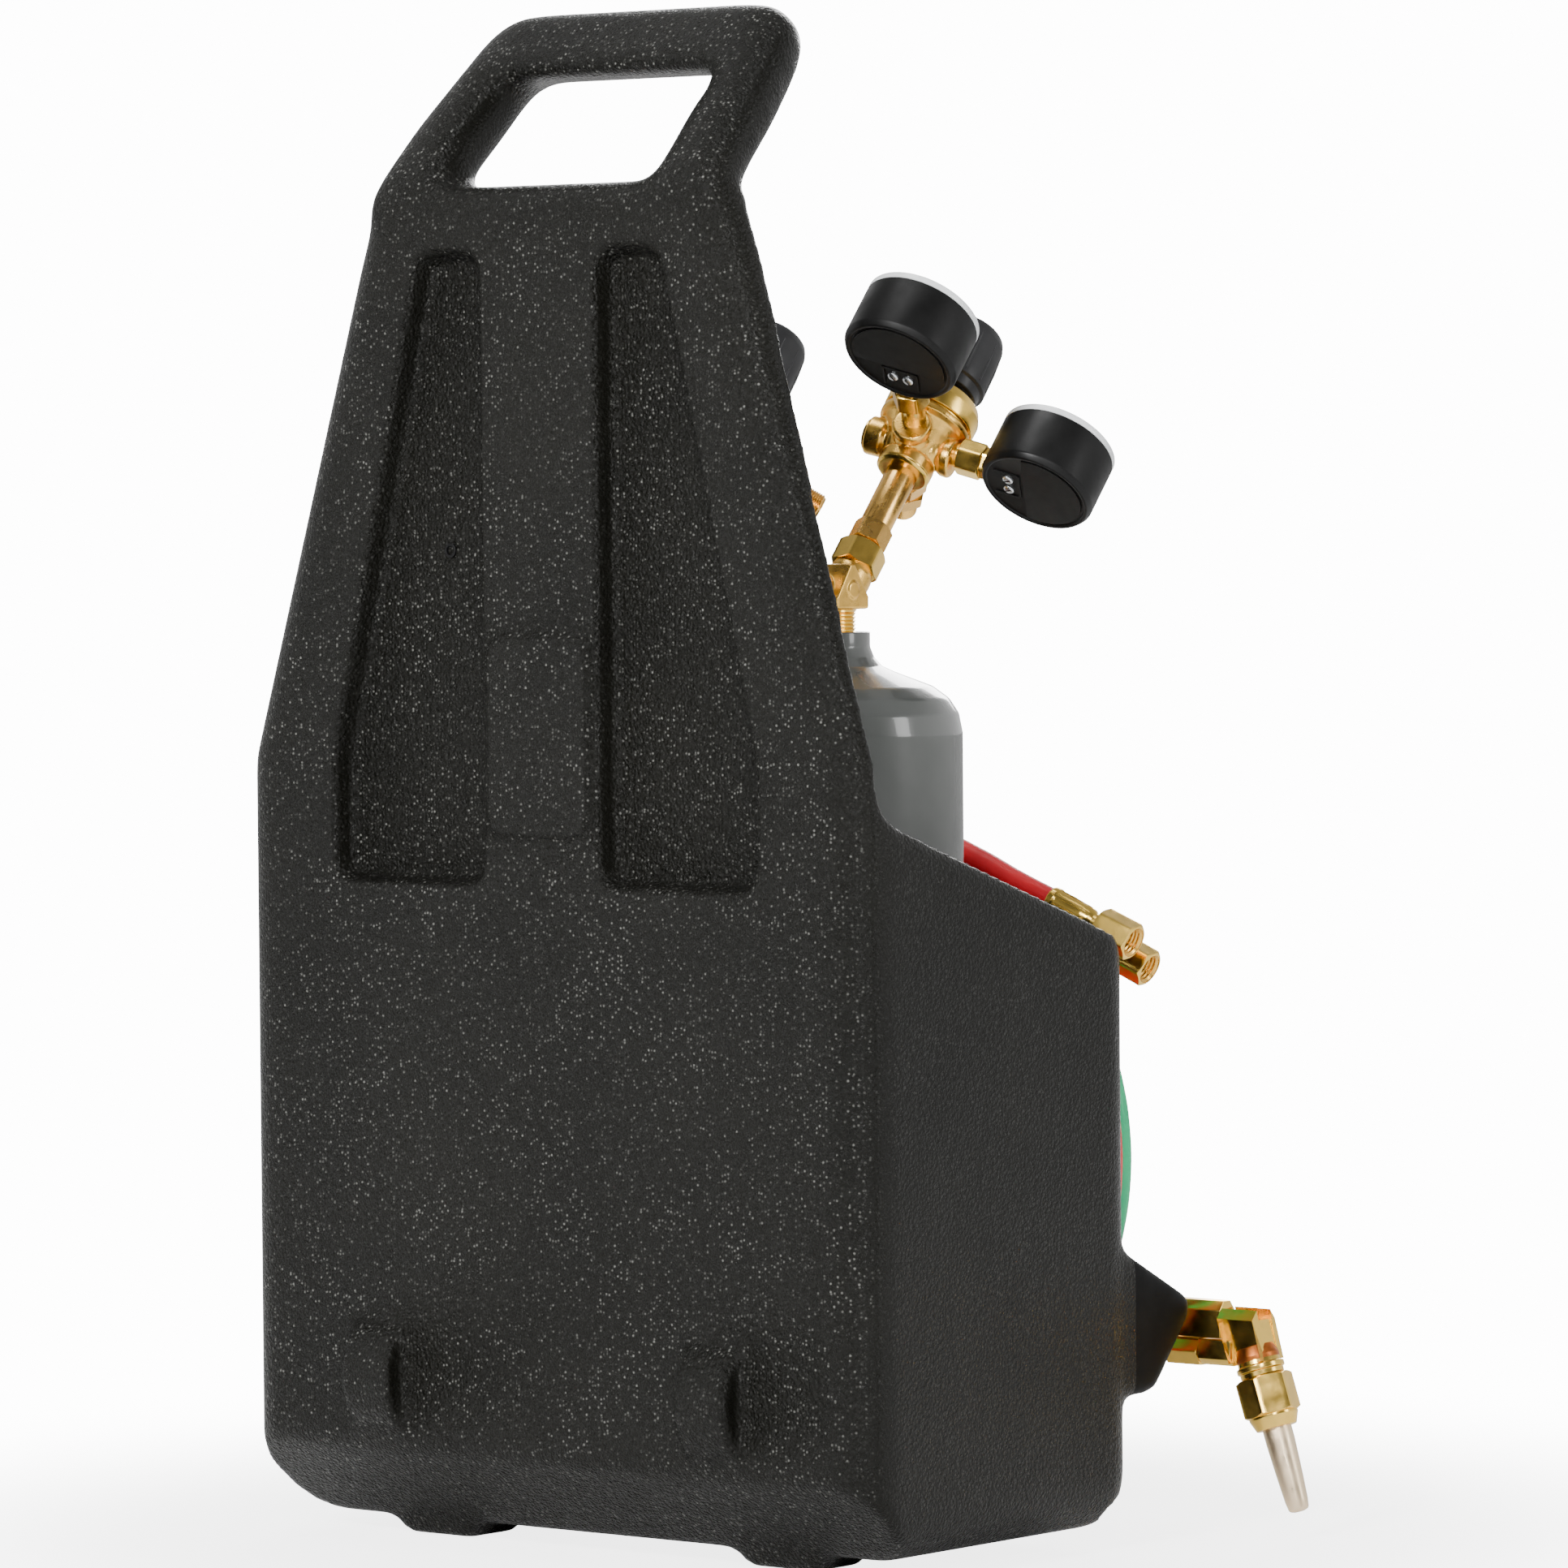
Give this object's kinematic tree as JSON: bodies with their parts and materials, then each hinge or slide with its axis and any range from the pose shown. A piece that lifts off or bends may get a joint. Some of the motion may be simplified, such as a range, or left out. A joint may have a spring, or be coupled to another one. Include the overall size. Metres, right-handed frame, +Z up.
{
  "type": "portable oxy-acetylene torch carrier",
  "caption": "Hand-carried moulded tote with two gas cylinders, their regulators and gauges, a cutting torch in side hooks and a coiled twin hose.",
  "frame": {"origin": "middle of the bounding box of everything but the free hose, on the floor under the feet", "axes": "+Z up, -Y the tote's front with the coiled hose and torch, +X towards the open stowage bay"},
  "size_m": [0.4753, 0.3124, 0.7198],
  "materials": {
    "tote_polyethylene": "rotation-moulded, fine pebble grain",
    "grey_enamel": "gloss enamel",
    "brass": "bright machined brass",
    "copper": "bright drawn copper",
    "black_plastic": "black moulded, satin gloss",
    "steel": "plain",
    "clear_lens": "clear",
    "red_rubber": "smooth extruded hose",
    "green_rubber": "smooth extruded hose"
  },
  "bodies": {
    "carrier": {"carrier_case": "tote_polyethylene", "torch_handle": "brass", "attachment_coupling_nut": "brass", "attachment_body": "brass", "torch_cutting_tube": "brass", "torch_preheat_tube": "brass", "torch_head": "brass", "torch_tip_nut": "brass", "torch_tip": "copper", "cutting_lever_pin": "steel", "hose_coil": "green_rubber", "red_hose_to_torch": "red_rubber", "red_hose_to_end": "red_rubber", "red_torch_nut": "brass", "red_hose_ferrule": "brass", "red_hose_nut": "brass", "green_hose_to_torch": "green_rubber", "green_hose_to_end": "green_rubber", "green_torch_nut": "brass", "green_hose_ferrule": "brass", "green_hose_nut": "brass"},
    "oxygen_set": {"oxygen_cylinder": "grey_enamel", "oxygen_valve_body": "brass", "oxygen_valve_packing_nut": "brass", "oxygen_inlet_nut": "brass", "oxygen_inlet_stem": "brass", "oxygen_regulator_body": "brass", "oxygen_regulator_spring": "steel", "oxygen_regulator_bonnet": "brass", "oxygen_regulator_outlet": "brass", "oxygen_contents_gauge_case": "black_plastic", "oxygen_contents_gauge_lens": "clear_lens", "oxygen_delivery_gauge_case": "black_plastic", "oxygen_delivery_gauge_lens": "clear_lens"},
    "oxygen_handwheel": {"oxygen_valve_handwheel": "black_plastic"},
    "oxygen_knob": {"oxygen_regulator_knob": "black_plastic"},
    "oxygen_contents_pointer": {"oxygen_contents_gauge_pointer": "black_plastic"},
    "oxygen_delivery_pointer": {"oxygen_delivery_gauge_pointer": "black_plastic"},
    "acetylene_set": {"acetylene_cylinder": "grey_enamel", "acetylene_valve_body": "brass", "acetylene_valve_packing_nut": "brass", "acetylene_inlet_nut": "brass", "acetylene_inlet_stem": "brass", "acetylene_regulator_body": "brass", "acetylene_regulator_spring": "steel", "acetylene_regulator_bonnet": "brass", "acetylene_regulator_outlet": "brass", "acetylene_contents_gauge_case": "black_plastic", "acetylene_contents_gauge_lens": "clear_lens", "acetylene_delivery_gauge_case": "black_plastic", "acetylene_delivery_gauge_lens": "clear_lens"},
    "acetylene_handwheel": {"acetylene_valve_handwheel": "black_plastic"},
    "acetylene_knob": {"acetylene_regulator_knob": "black_plastic"},
    "acetylene_contents_pointer": {"acetylene_contents_gauge_pointer": "black_plastic"},
    "acetylene_delivery_pointer": {"acetylene_delivery_gauge_pointer": "black_plastic"},
    "lever": {"cutting_lever": "brass"},
    "torch_oxygen_knob": {"torch_oxygen_knob": "green_rubber"},
    "torch_fuel_knob": {"torch_fuel_knob": "red_rubber"},
    "preheat_knob": {"attachment_preheat_knob": "brass"}
  },
  "joints": [
    {"name": "oxygen_cylinder_lift", "type": "slide", "parent": "carrier", "child": "oxygen_set", "axis": [0, 0, 1], "range_m": [0, 0.1]},
    {"name": "oxygen_cylinder_valve", "type": "hinge", "parent": "oxygen_set", "child": "oxygen_handwheel", "pos_m": [-0.064, 0.04025, 0.435], "axis": [0, 0.6401, 0.7683], "range_deg": [0, 720]},
    {"name": "oxygen_pressure_knob", "type": "hinge", "parent": "oxygen_set", "child": "oxygen_knob", "pos_m": [-0.064, -0.0276, 0.51644], "axis": [0, 0.6401, -0.7683], "range_deg": [0, 720]},
    {"name": "oxygen_contents_pointer_turn", "type": "hinge", "parent": "oxygen_set", "child": "oxygen_contents_pointer", "pos_m": [-0.12043, -0.04912, 0.49851], "axis": [0, 0.6401, -0.7683], "range_deg": [0, 270]},
    {"name": "oxygen_delivery_pointer_turn", "type": "hinge", "parent": "oxygen_set", "child": "oxygen_delivery_pointer", "pos_m": [-0.09735, 0.02401, 0.55944], "axis": [0, 0.6401, -0.7683], "range_deg": [0, 270]},
    {"name": "acetylene_cylinder_lift", "type": "slide", "parent": "carrier", "child": "acetylene_set", "axis": [0, 0, 1], "range_m": [0, 0.1]},
    {"name": "acetylene_cylinder_valve", "type": "hinge", "parent": "acetylene_set", "child": "acetylene_handwheel", "pos_m": [0.074, 0.01825, 0.435], "axis": [0, 0.6401, 0.7683], "range_deg": [0, 720]},
    {"name": "acetylene_pressure_knob", "type": "hinge", "parent": "acetylene_set", "child": "acetylene_knob", "pos_m": [0.074, -0.0496, 0.51644], "axis": [0, 0.6401, -0.7683], "range_deg": [0, 720]},
    {"name": "acetylene_contents_pointer_turn", "type": "hinge", "parent": "acetylene_set", "child": "acetylene_contents_pointer", "pos_m": [0.13043, -0.07112, 0.49851], "axis": [0, 0.6401, -0.7683], "range_deg": [0, 270]},
    {"name": "acetylene_delivery_pointer_turn", "type": "hinge", "parent": "acetylene_set", "child": "acetylene_delivery_pointer", "pos_m": [0.10735, 0.00201, 0.55944], "axis": [0, 0.6401, -0.7683], "range_deg": [0, 270]},
    {"name": "torch_oxygen_valve", "type": "hinge", "parent": "carrier", "child": "torch_oxygen_knob", "pos_m": [0.146, -0.12725, 0.097], "axis": [0, -0.4472, 0.8944], "range_deg": [0, 540]},
    {"name": "torch_fuel_valve", "type": "hinge", "parent": "carrier", "child": "torch_fuel_knob", "pos_m": [0.146, -0.12725, 0.097], "axis": [0, -0.4472, -0.8944], "range_deg": [0, 540]},
    {"name": "preheat_valve", "type": "hinge", "parent": "carrier", "child": "preheat_knob", "pos_m": [-0.0542, -0.12725, 0.097], "axis": [0, -1, 0], "range_deg": [0, 540]},
    {"name": "cutting_lever_press", "type": "hinge", "parent": "carrier", "child": "lever", "pos_m": [-0.0322, -0.12725, 0.114], "axis": [0, 1, 0], "range_deg": [0, 5], "stiffness_Nm_per_rad": 2, "springref_deg": -11.46}
  ],
  "couplings": [
    {"joint": "oxygen_delivery_pointer_turn", "follows": "oxygen_pressure_knob", "ratio": 0.375},
    {"joint": "acetylene_delivery_pointer_turn", "follows": "acetylene_pressure_knob", "ratio": 0.375}
  ]
}
